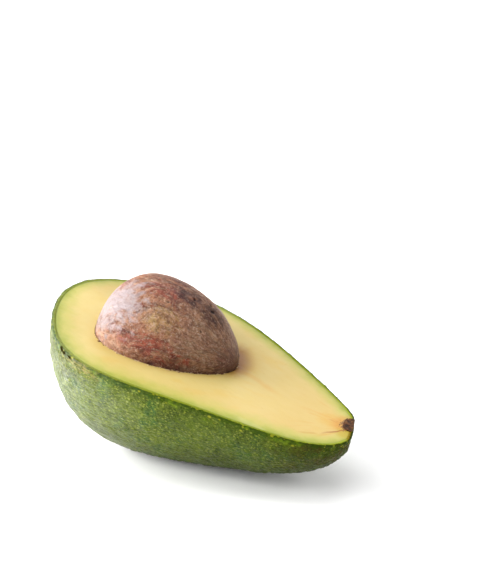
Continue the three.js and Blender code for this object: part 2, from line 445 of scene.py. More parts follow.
def seed_outline(angles, grow):
    """Where the seed's grown surface meets the cut face, at angles round its centre."""
    directions = np.stack([np.cos(angles), np.sin(angles), np.zeros(len(angles))], -1)
    low = np.zeros(len(angles))
    high = np.full(len(angles), SEARCH_REACH)
    for _ in range(SEARCH_STEPS):
        middle = (low + high) / 2
        offset = directions * middle[:, None]
        offset[:, 2] = -SEED_CENTRE[2]
        own = offset @ SEED_FRAME
        distance = np.linalg.norm(own, axis=1)
        outside = distance > seed_reach(own / distance[:, None], grow)
        low, high = np.where(outside, low, middle), np.where(outside, middle, high)
    ring = SEED_CENTRE + directions * low[:, None]
    ring[:, 2] = 0
    return ring


def face_rings(surface, rim, hollow):
    """Rings of the cut face from the rim to the seed, the last one a step down into the hollow."""
    rings = []
    for k in range(1, FACE_RINGS + 1):
        share = k / FACE_RINGS
        share = share - RING_BUNCHING * math.sin(2 * math.pi * share)
        ring = rim + (hollow - rim) * share
        ring[:, 2] = face_height(ring, rim)
        if k == FACE_RINGS:
            ring[:, 2] -= HOLLOW_LIP
        rings.append(surface.add_row(ring))
    return rings


def hollow_rings(surface, hollow):
    """Rings of the hollow, from the cut face down under the seed."""
    rings = []
    start = hollow - SEED_CENTRE
    for k in range(1, HOLLOW_RINGS):
        turn = k / HOLLOW_RINGS * math.pi / 2
        low = start * math.cos(turn)
        low[:, 2] = SEED_CENTRE[2] * math.cos(turn) - HOLLOW_DEPTH * math.sin(turn)
        own = low @ SEED_FRAME
        own /= np.linalg.norm(own, axis=1)[:, None]
        rings.append(surface.add_row(hollow_point(own)))
    return rings


def hollow_point(own):
    """Where the hollow lies in some directions of the seed's own frame."""
    reach = seed_reach(own, HOLLOW_CLEARANCE)
    return SEED_CENTRE + (own * reach[:, None]) @ SEED_FRAME.T


def flesh_piece(material):
    """The underside, the cut face and the hollow under the seed, as one closed surface."""
    surface = Surface()
    depth = SKIN_THICKNESS - FLESH_OVERLAP
    rows = add_body_rows(
        surface, body_rows(FLESH_ROWS, FLESH_STEP),
        lambda along, around: body_offset(along, around, -depth, depth))
    surface.weave_all(rows)
    outline = face_outline(rows)
    rim = surface.points()[outline]
    toward = rim - SEED_CENTRE
    hollow = seed_outline(np.arctan2(toward[:, 1], toward[:, 0]), HOLLOW_GAP)
    rings = [outline] + face_rings(surface, rim, hollow) + hollow_rings(surface, hollow)
    for first, second in zip(rings, rings[1:]):
        surface.weave(second + second[:1], first + first[:1])
    bottom = np.array([[0.0, 0.0, -1.0]]) @ SEED_FRAME
    surface.weave(surface.add_row(hollow_point(bottom)), rings[-1] + rings[-1][:1])
    points = surface.points()
    rim_gap = nearest_distance(points[:, :2], rim[:, :2])
    rim_gap[np.array(sorted(set(sum(rows, []))))] = 0
    seed_gap = nearest_distance(points[:, :2], hollow[:, :2])
    attributes = {"place": points, "rim_gap": rim_gap, "seed_gap": seed_gap}
    return make_object("flesh_cut", points, surface.faces, material, attributes)


def nearest_distance(points, targets):
    """How far each point is from the nearest target, worked out in batches."""
    batch = 4000
    found = np.empty(len(points))
    for start in range(0, len(points), batch):
        part = points[start:start + batch]
        gaps = np.linalg.norm(part[:, None, :] - targets[None, :, :], axis=2)
        found[start:start + batch] = gaps.min(axis=1)
    return found


def face_height(ring, rim):
    """A knife's faint waves on the cut face."""
    flat = ring * (1, 1, 0)
    wave = layered_noise(flat, KNIFE_WAVE_SIZE, 60, 3) - 0.5
    fine = layered_noise(flat, FACE_GRAIN_SIZE, 70, 2) - 0.5
    fade = ramp(np.linalg.norm(ring - rim, axis=1), 0, 2.5)
    return fade * (KNIFE_WAVE * wave + FACE_GRAIN * fine) - FACE_DROP


def seed_fibres(own):
    """Coordinates along the coat's fibres, from the blunt end to the point, with a few swirls."""
    swirl = layered_noise(own, 9.0, 150, 2) - 0.5
    bend = layered_noise(own, 3.5, 160, 2) - 0.5
    angle = np.arctan2(own[:, 2], own[:, 1]) + 0.4 * swirl + 0.12 * bend
    from_blunt = np.arccos(-own[:, 0] / np.linalg.norm(own, axis=1))
    radius = SEED_HALF[1]
    x = FIBRE_STRETCH * radius * from_blunt
    return np.stack([x, radius * np.cos(angle), radius * np.sin(angle)], -1)


def seed_relief(own, fibres):
    """Low lumps, a shoulder on the far side, ridges along the fibres and a few pits."""
    lumps = layered_noise(own, 11.0, 80, 3) - 0.5
    shoulder = 1 - ramp(np.linalg.norm(own - SHOULDER, axis=1), *SHOULDER_SIZE)
    ridges = layered_noise(fibres, 1.1, 95, 3) - 0.5
    return 0.5 * lumps + SHOULDER_HEIGHT * shoulder + 0.3 * ridges - pit_depth(own)


def pit_depth(own):
    """How deep the pits are at each point."""
    unit = own / np.linalg.norm(own, axis=1)[:, None]
    total = np.zeros(len(own))
    for from_point, turn, width, depth in PITS:
        a, b = math.radians(from_point), math.radians(turn)
        centre = np.array((math.cos(a), -math.sin(a) * math.cos(b), math.sin(a) * math.sin(b)))
        gap = np.linalg.norm(unit - centre, axis=1) * SEED_HALF[1]
        total += depth * (1 - ramp(gap, 0.3 * width, width))
    return total


def ball_mesh(fineness):
    """The corners and triangles of a ball of radius 1."""
    ball = bmesh.new()
    bmesh.ops.create_icosphere(ball, subdivisions=fineness, radius=1.0)
    corners = [vertex.co.copy() for vertex in ball.verts]
    faces = [tuple(vertex.index for vertex in face.verts) for face in ball.faces]
    ball.free()
    return corners, faces


def seed_piece(material):
    """The whole seed, as a ball drawn out to the egg and its relief."""
    corners, faces = ball_mesh(SEED_FINENESS)
    directions = np.array([tuple(corner.normalized()) for corner in corners])
    own = directions * seed_reach(directions)[:, None]
    fibres = seed_fibres(own)
    relief = seed_relief(own, fibres)
    own = own + directions * relief[:, None]
    points = SEED_CENTRE + own @ SEED_FRAME.T
    attributes = {"place": own, "fibres": fibres, "pits": pit_depth(own), "above": points[:, 2]}
    return make_object("seed_stone", points, faces, material, attributes)


def scar_ring(share):
    """A cross-section of the plug, share of the way out: its round underside, then its flat face."""
    x = -SCAR_DEPTH + share * (SCAR_DEPTH + SCAR_PROUD)
    radius = np.interp(share, np.linspace(0, 1, len(SCAR_RADII)), SCAR_RADII)
    angle = -math.pi * np.arange(SCAR_SIDES + 1) / SCAR_SIDES
    wide = radius * (1 + 0.08 * np.sin(7 * angle + 1) + 0.05 * np.sin(11 * angle))
    places = np.stack([np.full(SCAR_SIDES + 1, 1.4 * x), 3 * angle, 0 * angle], -1)
    wide += 0.5 * (value_noise(places, 1.0, 7) - 0.5)
    below = np.stack([np.full(SCAR_SIDES + 1, x), wide * np.cos(angle), wide * np.sin(angle)], -1)
    side = np.linspace(below[-1, 1], below[0, 1], SCAR_ACROSS + 1)[1:-1]
    face = np.stack([np.full(SCAR_ACROSS - 1, x), side, np.zeros(SCAR_ACROSS - 1)], -1)
    return np.concatenate([below, face])


def roughen_scar(own):
    """The plug with a rough surface, outward on its sides and upward on its cut face."""
    rough = SCAR_ROUGHNESS * (layered_noise(own, 0.9, 120, 3) - 0.5)
    outward = own * (0.2, 1, 1)
    outward /= np.maximum(np.linalg.norm(outward, axis=1), 0.3)[:, None]
    own = own + outward * rough[:, None]
    on_face = own[:, 2] > -0.15
    own[on_face, 2] = SCAR_FACE + rough[on_face]
    return own


def scar_piece(material):
    """Half of the woody plug, cut by the same knife."""
    surface = Surface()
    rows = []
    for k in range(SCAR_LAYERS + 1):
        ring = surface.add_row(scar_ring(k / SCAR_LAYERS))
        rows.append(ring + ring[:1])
    first = surface.add_row(np.array([[-SCAR_DEPTH, 0, -1.0]]))
    last = surface.add_row(np.array([[SCAR_PROUD, 0, -1.0]]))
    surface.weave_all([first] + rows + [last])
    own = roughen_scar(surface.points())
    points = STEM_PLACE + turn_level(own, STEM_TURN)
    return make_object("stem_scar_plug", points, surface.faces, material, {"place": own})


def crumb(draw, shape, place, angle):
    """One bumpy scrap at a place on the seed's edge, lying roughly along it."""
    size = CRUMB_SMALLEST + CRUMB_SPREAD * draw.random() ** 2.5
    bumps = layered_noise(shape + draw.uniform(0, 50, 3), 0.8, 130, 2) - 0.5
    bumpy = shape * (1 + 0.35 * bumps)[:, None]
    flat = bumpy * (size * np.array((1 + 1.2 * draw.random(), 0.8, 0.55)))
    turned = turn_level(flat, angle + math.pi / 2 + draw.normal(0, 0.5))
    outward = np.array((math.cos(angle), math.sin(angle), 0)) * abs(draw.normal(0, 0.35))
    centre = place + outward + (0, 0, 0.3 * size)
    return turned + centre


def crumbs_piece(material):
    """Scraps of the seed's brown coat along the line where the seed meets the cut face."""
    draw = np.random.default_rng(3)
    corners, triangles = ball_mesh(CRUMB_FINENESS)
    shape = np.array([tuple(corner) for corner in corners])
    triangles = np.array(triangles)
    near = draw.normal(-1.35, 0.75, CRUMBS_NEAR)
    everywhere = draw.uniform(-math.pi, math.pi, CRUMBS_ROUND)
    angles = np.concatenate([near, everywhere])
    points, faces, shade = [], [], []
    for place, angle in zip(seed_outline(angles, 0.15), angles):
        faces.append(triangles + len(shape) * len(points))
        points.append(crumb(draw, shape, place, angle))
        shade.append(np.full(len(shape), draw.random()))
    points = np.concatenate(points)
    attributes = {"place": points, "shade": np.concatenate(shade)}
    return make_object("seed_crumbs", points, np.concatenate(faces).tolist(), material, attributes)


# Materials

def colour(red, green, blue):
    """A colour as it looks in a picture, from 0 to 255, made linear."""
    parts = np.array((red, green, blue)) / 255
    linear = np.where(parts <= 0.04045, parts / 12.92, ((parts + 0.055) / 1.055) ** 2.4)
    return (*linear.tolist(), 1)


# Colours of the skin
GREEN_DARK = colour(64, 76, 28)
GREEN_LIGHT = colour(84, 96, 36)
PAINTED_REFLECTION_GREEN = colour(54, 86, 44)
GREEN_YELLOW = colour(96, 112, 34)
# Bluer green of the painted hazy reflection
GREEN_DEEP = colour(42, 58, 14)
MOTTLES = colour(116, 128, 50)
DASHES = colour(134, 142, 58)
LARGE_DASHES = colour(148, 154, 76)
STEM_BROWN = colour(70, 42, 16)
RIM_BAND = colour(44, 62, 6)
RIM_BLOTS = colour(96, 118, 18)
RIM_DOTS = colour(146, 144, 36)
SCUFFS = colour(138, 122, 66)
BLEMISH = colour(34, 28, 4)
CUT_BROWN = colour(110, 84, 12)
LIME_DARK = colour(106, 118, 24)
LIME = colour(136, 144, 42)
LIME_PALE = colour(166, 160, 74)

# Colours of the cut face
CREAM = colour(187, 165, 98)
CREAM_PALE = colour(190, 171, 106)
CREAM_WARM = colour(187, 159, 94)
CREAM_BY_SEED = colour(188, 156, 78)
CREAM_GLOW = colour(190, 148, 58)
# Beside the seed: browning together with the seed's painted shadow
SIDE_WARMTH_AND_SHADE = colour(186, 148, 62)
SIDE_BROWNING_AND_SHADOW = colour(134, 80, 4)
SCAR_FRINGE = colour(100, 54, 8)
FLECKS = colour(170, 138, 66)
FAN_NEAR = colour(186, 138, 50)
FAN_FAR = colour(190, 156, 72)

# Lines on the cut face: start, end, width, strength and colour
SCAR_LINE = ((107.1, 7.9), (101.9, -4.9), 0.35, 0.85, colour(140, 76, 8))
FACE_LINES = (
    ((101.9, -4.9), (96.5, -9.5), 0.4, 0.4, colour(168, 106, 26)),
    ((102.4, 5.4), (98.2, 4.4), 0.3, 0.6, colour(160, 92, 30)),
    ((62, 4.5), (84, 2.4), 0.9, 0.35, colour(190, 140, 62)),
)

# Colours of the seed's coat
COAT_DARK = colour(104, 54, 34)
COAT_LIGHT = colour(140, 96, 66)
COAT_GREY = colour(136, 110, 82)
COAT_PATCHES = colour(150, 120, 94)
COAT_FLAKES = colour(170, 146, 126)
COAT_DUST = colour(198, 170, 150)
COAT_RED = colour(136, 62, 42)
# Painted highlight at the coat's blunt end
COAT_PAINTED_HIGHLIGHT = colour(146, 132, 132)
COAT_PITS = colour(30, 10, 8)

# What each shade leaves of red, green and blue
# Darker toward the stem and at the tip: partly the peel's own deeper green, partly painted shade
NECK_GREEN_AND_SHADE = (0.66, 0.69, 0.6)
TIP_GREEN_AND_SHADE = (0.58, 0.6, 0.34)
# Painted shade: underneath, low down by the tip, and by the floor where the fruit rests
UNDER_PAINTED_SHADE = (0.8, 0.8, 0.72)
LOW_PAINTED_SHADE = (0.76, 0.76, 0.66)
FLOOR_PAINTED_SHADOW = (0.42, 0.42, 0.42)
BLUNT_SHADE = (0.84, 0.76, 0.8)
FACE_SHADE = (0.8, 0.8, 0.8)
BLOTCH_SHADE = (0.5, 0.4, 0.38)
GAP_SHADE = (0.42, 0.34, 0.3)
STREAK_SHADE = (0.26, 0.16, 0.15)
POINT_SHADE = (0.55, 0.42, 0.46)
# Painted shade along the seed's hem, just above the cut face
HEM_PAINTED_SHADE = (0.4, 0.3, 0.26)

# Areas: middle and half sizes, in millimetres, as the place attribute counts them
STEM_EDGE = ((107.4, 3, 0), (3.4, 5, 2))
SCUFFED = ((32.5, -35, -1.6), (9, 5, 2.4))
GLOWING = ((101, 5, 0), (8, 6, 4))
BESIDE_SEED = ((62, 9, 0), (11, 14, 6))
# The seed's painted highlight, at the blunt end
PAINTED_HIGHLIGHT_AREA = ((-14.5, -11, 12.5), (14, 11.5, 13))
SEED_POINT = ((21, -1, 0.5), (5.5, 9, 6))

# Brown blemishes just under the rim of the skin: area and strength
BLEMISHES = (
    (((23.2, -32.8, -0.6), (1.3, 2, 0.8)), 1),
    (((25.2, -33.9, -0.8), (1.1, 2, 1)), 1),
    (((27.6, -34.6, -0.7), (1.5, 2, 0.6)), 1),
    (((104.6, 11.6, -0.2), (1.8, 1.6, 1.2)), 1),
)

# Blots on the cut face, a pale stretch and two by the scar: area, strength and colour
FACE_BLOTS = (
    (((88, -18, 0), (9, 2, 2)), 0.4, colour(168, 168, 104)),
    (((103.6, 6.6, 0), (5, 6.2, 4)), 0.75, colour(186, 128, 46)),
    (((106.6, 2.6, 0), (3.6, 4.4, 3)), 0.7, colour(166, 140, 16)),
)

# Blots on the coat, an olive patch and a pale blunt edge: area, strength and colour
COAT_BLOTS = (
    (((2.5, -11.5, 13), (9, 6, 6.5)), 0.9, colour(148, 118, 70)),
    (((-12, -17.5, 4.5), (12, 6, 4.5)), 0.9, colour(188, 148, 122)),
)

# Where the coat is darkest, on the far shoulder and low down: area and strength
DARK_AREAS = (
    (((5, 1, 16.8), (9, 5.5, 5)), 1),
    (((13.5, 2, 12), (9, 6, 7)), 1),
    (((8, -15, 0.5), (16, 7, 3.4)), 0.6),
)

# Where the coat is red: area and strength, and the strength elsewhere
RED_AREAS = (
    (((0, -17, 6.5), (14, 6, 4.4)), 0.95),
    (((8, -14, 2.6), (12, 6, 4)), 0.95),
    (((-2, -3, 18), (12, 6, 5)), 0.7),
)
RED_ELSEWHERE = 0.25

# Attributes that are vectors, the others being numbers
VECTORS = ("place", "fibres")

# How far the edge of an area wanders, as a share of its half sizes: on the cut face, and elsewhere
SMOOTH = 0.08
RAGGED = 0.35


class Look:
    """Short ways to add the nodes of one material."""

    def __init__(self, name):
        self.material = bpy.data.materials.new(name)
        self.material.use_nodes = True
        self.tree = self.material.node_tree
        self.surface = self.tree.nodes["Principled BSDF"]

    def add(self, kind, inputs, **settings):
        node = self.tree.nodes.new(kind)
        for key, value in settings.items():
            setattr(node, key, value)
        for key, value in inputs.items():
            self.set(node.inputs[key], value)
        return node

    def set(self, socket, value):
        if isinstance(value, bpy.types.NodeSocket):
            self.tree.links.new(value, socket)
        else:
            socket.default_value = value

    def finish(self, **inputs):
        for key, value in inputs.items():
            self.set(self.surface.inputs[key.replace("_", " ")], value)
        return self.material

    def attribute(self, name):
        node = self.add("ShaderNodeAttribute", {}, attribute_name=name, attribute_type="GEOMETRY")
        return node.outputs["Vector" if name in VECTORS else "Fac"]

    def math(self, operation, first, second=0, third=0):
        node = self.add("ShaderNodeMath", {0: first, 1: second, 2: third}, operation=operation)
        return node.outputs[0]

    def range(self, value, low, high, to_low=0, to_high=1, smooth=True):
        inputs = {"Value": value, "From Min": low, "From Max": high, "To Min": to_low, "To Max": to_high}
        kind = "SMOOTHSTEP" if smooth else "LINEAR"
        return self.add("ShaderNodeMapRange", inputs, interpolation_type=kind).outputs["Result"]

    def spread(self, noise, low, high):
        """Noise lies mostly from 0.3 to 0.7. This brings it to other limits."""
        return self.range(noise, 0.3, 0.7, low, high, False)

    def scaled(self, vector, scale):
        return self.add("ShaderNodeVectorMath", {0: vector, 1: scale}, operation="MULTIPLY").outputs[0]

    def moved(self, vector, shift):
        return self.add("ShaderNodeVectorMath", {0: vector, 1: shift}, operation="ADD").outputs[0]

    def apart(self, vector):
        return self.add("ShaderNodeSeparateXYZ", {"Vector": vector}).outputs[:3]

    def together(self, x, y, z):
        return self.add("ShaderNodeCombineXYZ", {"X": x, "Y": y, "Z": z}).outputs[0]

    def length(self, vector):
        return self.add("ShaderNodeVectorMath", {0: vector}, operation="LENGTH").outputs["Value"]

    def noise(self, vector, scale, detail=3, roughness=0.55, distortion=0):
        inputs = {"Vector": vector, "Scale": scale, "Detail": detail, "Roughness": roughness}
        inputs["Distortion"] = distortion
        return self.add("ShaderNodeTexNoise", inputs).outputs[0]

    def cells(self, vector, scale):
        return self.add("ShaderNodeTexVoronoi", {"Vector": vector, "Scale": scale}).outputs

    def mix(self, factor, first, second, blend="MIX"):
        node = self.add("ShaderNodeMix", {}, data_type="RGBA", blend_type=blend)
        self.set(node.inputs[0], factor)
        self.set(node.inputs[6], first)
        self.set(node.inputs[7], second)
        return node.outputs[2]

    def bump(self, height, distance, strength=1):
        inputs = {"Height": height, "Distance": distance, "Strength": strength}
        return self.add("ShaderNodeBump", inputs).outputs[0]

    def times(self, first, second):
        return self.math("MULTIPLY", first, second)

    def darken(self, amount, base, shade):
        return self.mix(amount, base, (*shade, 1), "MULTIPLY")


def skin_material():
    """Green peel: darker and lighter clouds, pale dashes, scuffs by the rim and a lime cut edge."""
    look = Look("avocado_skin")
    place = look.attribute("place")
    along, _, height = look.apart(place)
    green = skin_ground(look, place)
    green = skin_dashes(look, place, green)
    green = skin_greens_and_painted_shade(look, along, height, green)
    green = skin_marks(look, place, along, height, green)
    green = skin_cut_edge(look, place, green)

    grain = look.scaled(place, (0.4, 1, 1))
    rough = look.spread(look.noise(grain, 0.8, 4, 0.6), 0.34, 0.5)
    normal = look.bump(look.noise(grain, 1.5, 4, 0.65), 0.0005, 0.8)
    waxy = skin_gloss(look, place, along, height)
    return look.finish(Base_Color=green, Roughness=rough, Normal=normal, Specular_IOR_Level=waxy)


def skin_cut_edge(look, place, green):
    """Lime where the knife cut the peel, and browner at the stem."""
    wander = look.spread(look.noise(place, 1.1, 3), -0.15, 0.15)
    edge = look.math("ADD", look.attribute("depth"), wander)
    lime = look.mix(look.range(edge, 0.4, 1), LIME_DARK, LIME)
    lime = look.mix(spot(look, place, STEM_EDGE, 0.85), lime, CUT_BROWN)
    return look.mix(look.range(edge, 0.22, 0.5), green, lime)


def skin_gloss(look, place, along, height):
    """Waxy streaks at the blunt end, weaker by the rim, and none on the blemishes."""
    streaks = look.noise(look.scaled(place, (0.1, 1, 1)), 1.2, 4, 0.65)
    blunt = look.range(along, 28, 60, 0.85, 0.1)
    waxy = look.times(blunt, look.range(streaks, 0.35, 0.65, 0.4, 1.5))
    waxy = look.times(waxy, look.range(height, -1, -9, 0.3, 1))
    return look.times(waxy, look.math("SUBTRACT", 1, strongest(look, place, BLEMISHES)))


def skin_ground(look, place):
    """Clouds of darker and yellower green, and bluer patches of painted hazy reflection."""
    clouds = look.noise(place, 0.1, 4, 0.6)
    green = look.mix(look.range(clouds, 0.38, 0.62), GREEN_DARK, GREEN_LIGHT)
    # Painted reflection: bluer green patches for a hazy sheen on the peel
    blue = look.noise(look.moved(place, (31, 7, 3)), 0.16, 3, 0.55)
    green = look.mix(look.range(blue, 0.52, 0.68, 0, 0.7), green, PAINTED_REFLECTION_GREEN)
    grain = look.scaled(place, (0.5, 1, 1))
    patches = look.noise(grain, 0.5, 4, 0.7, 0.5)
    green = look.mix(look.range(patches, 0.45, 0.68, 0, 0.6), green, GREEN_YELLOW)
    dark = look.noise(look.moved(grain, (5, 9, 2)), 0.9, 5, 0.75)
    return look.mix(look.range(dark, 0.48, 0.64, 0, 0.8), green, GREEN_DEEP)


def skin_dashes(look, place, green):
    """Short pale yellow-green dashes along the fruit, fine and close, with a few larger ones."""
    mottle = look.noise(look.scaled(place, (0.6, 1, 1)), 2.2, 3, 0.75)
    green = look.mix(look.range(mottle, 0.5, 0.62, 0, 0.7), green, MOTTLES)
    fine = specks_of(look, look.scaled(place, (0.55, 1, 1)), 1.5, 0.16, 0.4)
    green = look.mix(look.times(fine, 0.7), green, DASHES)
    large = specks_of(look, look.scaled(look.moved(place, (7, 3, 5)), (0.6, 1, 1)), 0.95, 0.12, 0.3)
    some = look.range(look.noise(place, 0.25, 3), 0.42, 0.58, 0.1, 0.7)
    return look.mix(look.times(large, some), green, LARGE_DASHES)


def skin_greens_and_painted_shade(look, along, height, green):
    """Deeper green toward the stem, most of all at the tip, partly the peel's own green and partly
    painted shade; painted shade underneath, low down by the tip and by the floor.
    """
    # Painted shade low down by the tip, underneath and within a few millimetres of the floor
    low = look.times(look.range(along, 64, 84), look.range(height, -8, -18))
    floor_shadow = look.range(look.attribute("lift"), 1, 6.5, 1, 0)
    blunt = look.times(look.range(along, 24, 42, 1, 0), look.range(height, -12, -5))
    shades = (
        (look.range(along, 46, 78), NECK_GREEN_AND_SHADE),
        (look.range(along, 88, 107), TIP_GREEN_AND_SHADE),
        (look.range(height, -11, -24), UNDER_PAINTED_SHADE),
        (low, LOW_PAINTED_SHADE),
        (floor_shadow, FLOOR_PAINTED_SHADOW),
        (blunt, BLUNT_SHADE),
    )
    for amount, shade in shades:
        green = look.darken(amount, green, shade)
    return green


def skin_marks(look, place, along, height, green):
    """A browner stem end, a dark broken band, blots and dots under the rim, scuffs and blemishes."""
    patchy = look.range(look.noise(place, 0.3, 4, 0.65), 0.42, 0.62)
    brown = look.times(look.range(along, 88, 108), patchy)
    green = look.mix(look.times(brown, 0.4), green, STEM_BROWN)
    broken = look.range(look.noise(place, 0.55, 4, 0.65), 0.35, 0.65, -1.3, 0.9, False)
    band = look.range(look.math("ADD", height, broken), -1.9, -0.6, 0, 0.8)
    green = look.mix(band, green, RIM_BAND)
    limes = look.noise(look.scaled(place, (0.5, 1, 1)), 0.5, 4, 0.65)
    limes = look.times(look.range(limes, 0.5, 0.66, 0, 0.6), look.range(height, -4.5, -0.8))
    green = look.mix(limes, green, RIM_BLOTS)
    dots = specks_of(look, look.scaled(look.moved(place, (2, 9, 4)), (0.6, 1, 1)), 0.8, 0.1, 0.35)
    dots = look.times(dots, look.range(height, -3.6, -0.8, 0, 0.65))
    green = look.mix(dots, green, RIM_DOTS)
    scuffs = look.range(look.noise(look.scaled(place, (0.4, 1, 2)), 1.4, 4, 0.7), 0.46, 0.6)
    green = look.mix(look.times(spot(look, place, SCUFFED, 0.85), scuffs), green, SCUFFS)
    return look.mix(strongest(look, place, BLEMISHES), green, BLEMISH)


def specks_of(look, vector, scale, size, soft):
    """Round specks at the middles of some cells, of different sizes."""
    cells = look.cells(vector, scale)
    pick = look.apart(cells["Color"])
    reach = look.range(pick[0], 0.2, 1, 0.2 * size, size + 0.12, False)
    inner = look.math("SUBTRACT", cells["Distance"], reach)
    return look.range(inner, 0, soft * 0.5, 1, 0)


def spot(look, place, area, strength, ragged=RAGGED):
    """A soft blot over an area. ragged is how far its edge wanders."""
    centre, reach = area
    offset = look.moved(place, tuple(-value for value in centre))
    length = look.length(look.scaled(offset, tuple(1 / value for value in reach)))
    wander = look.spread(look.noise(place, 0.5, 3), -ragged, ragged)
    uneven = look.math("ADD", length, wander)
    return look.range(uneven, 0.35, 1, strength, 0)


def strongest(look, place, table):
    """The strongest of some soft blots at each place."""
    share = 0
    for area, strength in table:
        share = look.math("MAXIMUM", share, spot(look, place, area, strength))
    return share


def blots(look, place, table, base, ragged=RAGGED):
    """Soft blots of colour, one over the other."""
    for area, strength, tone in table:
        base = look.mix(spot(look, place, area, strength, ragged), base, tone)
    return base


def flesh_material():
    """Moist pale yellow, lime toward the skin, with faint fibres that run to the stem."""
    look = Look("avocado_flesh")
    place = look.attribute("place")
    seed_gap = look.attribute("seed_gap")
    along, across, _ = look.apart(place)

    clouds = look.noise(place, 0.05, 4, 0.6)
    cream = look.mix(look.range(clouds, 0.35, 0.65), CREAM, CREAM_PALE)
    cream = look.mix(look.range(along, 50, 104, 0, 0.7), cream, CREAM_WARM)
    cream = look.mix(look.range(seed_gap, 0, 4, 0.4, 0), cream, CREAM_BY_SEED)
    cream = flesh_fibres(look, place, along, across, cream)
    cream = flesh_warmth_and_seed_shadow(look, place, seed_gap, cream)
    cream = flesh_rim(look, place, across, cream)
    cream = blots(look, place, FACE_BLOTS, cream, SMOOTH)
    cream = draw_line(look, place, SCAR_LINE, cream)
    cream = look.mix(frayed_edge(look, place), cream, SCAR_FRINGE)
    far_left = look.times(look.range(along, 6, 34, 1, 0), look.range(across, -4, 10))
    cream = look.darken(far_left, cream, FACE_SHADE)
    flecks = specks_of(look, place, 0.35, 0.04, 0.12)
    cream = look.mix(look.times(flecks, 0.14), cream, FLECKS)

    smear = look.noise(look.scaled(place, (0.25, 1, 1)), 0.5, 3)
    rough = look.spread(smear, 0.42, 0.56)
    normal = look.bump(look.noise(look.scaled(place, (0.4, 1, 1)), 1.2, 5, 0.6), 0.0001, 0.7)
    return look.finish(
        Base_Color=cream, Roughness=rough, Normal=normal, Specular_IOR_Level=0.35,
        Subsurface_Weight=0.2, Subsurface_Radius=(1, 0.7, 0.25), Subsurface_Scale=0.0015)


def flesh_warmth_and_seed_shadow(look, place, seed_gap, cream):
    """Warmer toward the stem; by the stem side of the seed, browning together with the seed's painted
    shadow, darkest against it.
    """
    cream = look.mix(spot(look, place, GLOWING, 0.5, SMOOTH), cream, CREAM_GLOW)
    # The seed's painted shadow on the face, with browning, fading away from the seed
    side = spot(look, place, BESIDE_SEED, 1, SMOOTH)
    warm_and_shade = look.times(side, look.range(seed_gap, 2, 13, 0.6, 0))
    cream = look.mix(warm_and_shade, cream, SIDE_WARMTH_AND_SHADE)
    brown = look.times(side, look.range(seed_gap, 0, 6.5, 0.95, 0))
    return look.mix(brown, cream, SIDE_BROWNING_AND_SHADOW)


def flesh_rim(look, place, across, cream):
    """Lime in deepening bands toward the skin, wider on the near side."""
    rim_gap = look.attribute("rim_gap")
    width = look.range(across, -14, 4, 0.62, 1)
    wander = look.spread(look.noise(place, 0.22, 3, 0.55), -0.7, 0.7)
    ring = look.math("MULTIPLY_ADD", rim_gap, width, wander)
    cream = look.mix(look.range(ring, 1.2, 5.2, 0.85, 0), cream, LIME_PALE)
    cream = look.mix(look.range(ring, -0.2, 2.2, 0.95, 0), cream, LIME)
    return look.mix(look.range(rim_gap, 0, 0.6, 0.9, 0), cream, LIME_DARK)


def frayed_edge(look, place):
    """A ragged fringe on the cut face round the stem scar."""
    from_scar = look.length(look.scaled(look.moved(place, (-105, -7.2, 0)), (1, 0.8, 1)))
    ragged = look.spread(look.noise(place, 1, 3, 0.75), -1.7, 1.7)
    return look.range(look.math("ADD", from_scar, ragged), 2.4, 3, 0.9, 0)


def flesh_fibres(look, place, along, across, cream):
    """Soft orange lines that fan out from the stem scar, two brown ones and a vein from the seed."""
    x = look.math("SUBTRACT", 107, along)
    y = look.math("SUBTRACT", across, 7)
    angle = look.math("ARCTAN2", y, x)
    distance = look.length(look.together(x, y, 0))
    fan = look.together(look.times(angle, 5), look.times(distance, 0.05), 0)
    lines = look.range(look.noise(fan, 1, 2, 0.5), 0.52, 0.74)
    lines = look.times(lines, look.range(distance, 4, 32, 0.6, 0))
    cream = look.mix(lines, cream, FAN_NEAR)
    far_lines = look.range(look.noise(look.moved(fan, (4, 0, 3)), 1.7, 2, 0.5), 0.5, 0.7)
    far_lines = look.times(far_lines, look.range(distance, 20, 40, 0, 0.4))
    cream = look.mix(far_lines, cream, FAN_FAR)
    for line in FACE_LINES:
        cream = draw_line(look, place, line, cream)
    return cream


def draw_line(look, place, line, cream):
    """A soft line on the cut face, a little wavy, that thins toward its ends."""
    (x0, y0), (x1, y1), width, strength, tone = line
    long = math.hypot(x1 - x0, y1 - y0)
    unit = ((x1 - x0) / long, (y1 - y0) / long)
    x, y, _ = look.apart(look.moved(place, (-x0, -y0, 0)))
    reach = look.math("ADD", look.times(x, unit[0]), look.times(y, unit[1]))
    aside = look.math("SUBTRACT", look.times(y, unit[0]), look.times(x, unit[1]))
    wave = look.spread(look.noise(place, 0.15, 2), -0.5, 0.5)
    gap = look.math("ABSOLUTE", look.math("ADD", aside, wave))
    share = look.range(gap, 0.2 * width, 2 * width, strength, 0)
    starts = look.range(reach, -0.5, 0.25 * long)
    ends = look.range(reach, 0.6 * long, long, 1, 0)
    share = look.times(share, look.times(starts, ends))
    return look.mix(share, cream, tone)


